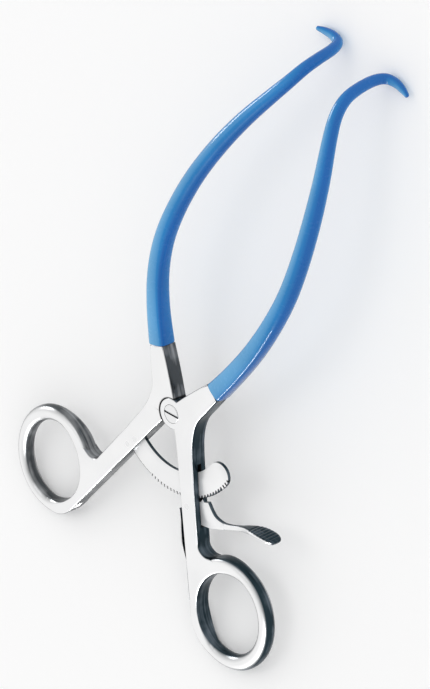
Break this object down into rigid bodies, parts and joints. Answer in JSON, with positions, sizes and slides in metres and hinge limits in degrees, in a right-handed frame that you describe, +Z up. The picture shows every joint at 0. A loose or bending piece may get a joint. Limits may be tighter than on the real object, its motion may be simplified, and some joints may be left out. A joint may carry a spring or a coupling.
{
  "type": "self retaining retractor",
  "caption": "Ring-handled spreading retractor with blue insulated arms and outturned prong tips, held open by a curved ratchet bar and a thumb release lever.",
  "frame": {"origin": "centre of the instrument's footprint on the table it lies on, screw side up", "axes": "+X toward the half that carries the release lever, +Y toward the prong tips, +Z up, square to the table; the joint's own plane leans 12 degrees to the table"},
  "size_m": [0.1098, 0.1812, 0.0263],
  "materials": {
    "steel": "satin stainless steel",
    "screw_steel": "bright stainless steel",
    "insulation": "glossy blue insulating coating"
  },
  "bodies": {
    "right_half": {"right_half": "steel", "right_coating": "insulation", "lever_pin": "steel", "lever_spring": "steel", "spring_screw": "screw_steel"},
    "left_half": {"left_half": "steel", "left_coating": "insulation", "ratchet_bar": "steel", "bar_rivet_upper": "steel", "bar_rivet_lower": "steel", "pivot_screw": "screw_steel"},
    "release_lever": {"release_lever": "steel"}
  },
  "joints": [
    {"name": "handle_hinge", "type": "hinge", "parent": "right_half", "child": "left_half", "pos_m": [0, -0.02723, 0.01547], "axis": [0, -0.2088, 0.978], "range_deg": [-6, 42]},
    {"name": "release_hinge", "type": "hinge", "parent": "right_half", "child": "release_lever", "pos_m": [0.01434, -0.05057, 0.01049], "axis": [0, 0.2088, -0.978], "range_deg": [-9.5, 6], "stiffness_Nm_per_rad": 0.05, "springref_deg": -20.05, "deforming": ["lever_spring"]}
  ]
}
